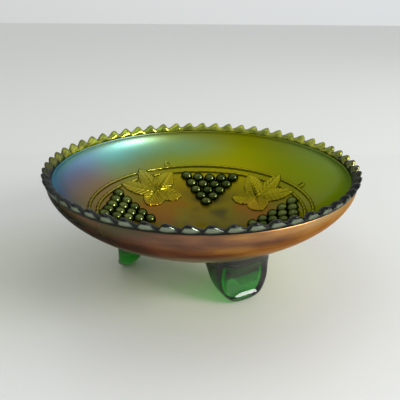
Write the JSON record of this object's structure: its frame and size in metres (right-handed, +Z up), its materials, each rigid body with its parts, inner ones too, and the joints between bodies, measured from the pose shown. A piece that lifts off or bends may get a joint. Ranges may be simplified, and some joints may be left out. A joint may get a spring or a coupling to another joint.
{
  "type": "carnival glass bowl",
  "caption": "Footed pressed-glass bowl with a saw-tooth rim and a raised grape-and-leaf pattern inside, for holding fruit, sweets or small things on a table.",
  "frame": {"origin": "on the table under the centre of the bowl, so the feet stand on z = 0", "axes": "+Z up along the bowl's axis; -Y towards the viewer, with the front foot to the right of it"},
  "size_m": [0.2185, 0.2185, 0.082],
  "materials": {
    "iridescent_wall": "smooth pressed green glass under a sprayed metallic lustre that runs from blue near the rim to olive gold",
    "clear_rim": "bare fire-polished bottle-green glass",
    "clear_foot": "bare fire-polished emerald-green glass",
    "iridescent_grapes": "rounded green glass under dark lustre with bright glints",
    "iridescent_relief": "raised green glass under gold to bronze lustre"
  },
  "bodies": {
    "root": {"bowl_shell": "iridescent_wall", "sawtooth_rim": "clear_rim", "front_foot": "clear_foot", "rear_foot": "clear_foot", "left_foot": "clear_foot", "grape_bunch_1": "iridescent_grapes", "grape_bunch_2": "iridescent_grapes", "grape_bunch_3": "iridescent_grapes", "grape_bunch_4": "iridescent_grapes", "grape_leaf_1": "iridescent_relief", "grape_leaf_2": "iridescent_relief", "grape_leaf_3": "iridescent_relief", "grape_leaf_4": "iridescent_relief", "inner_cable_ring": "iridescent_relief", "outer_cable_ring": "iridescent_relief", "vine_tendrils": "iridescent_relief"}
  },
  "joints": []
}
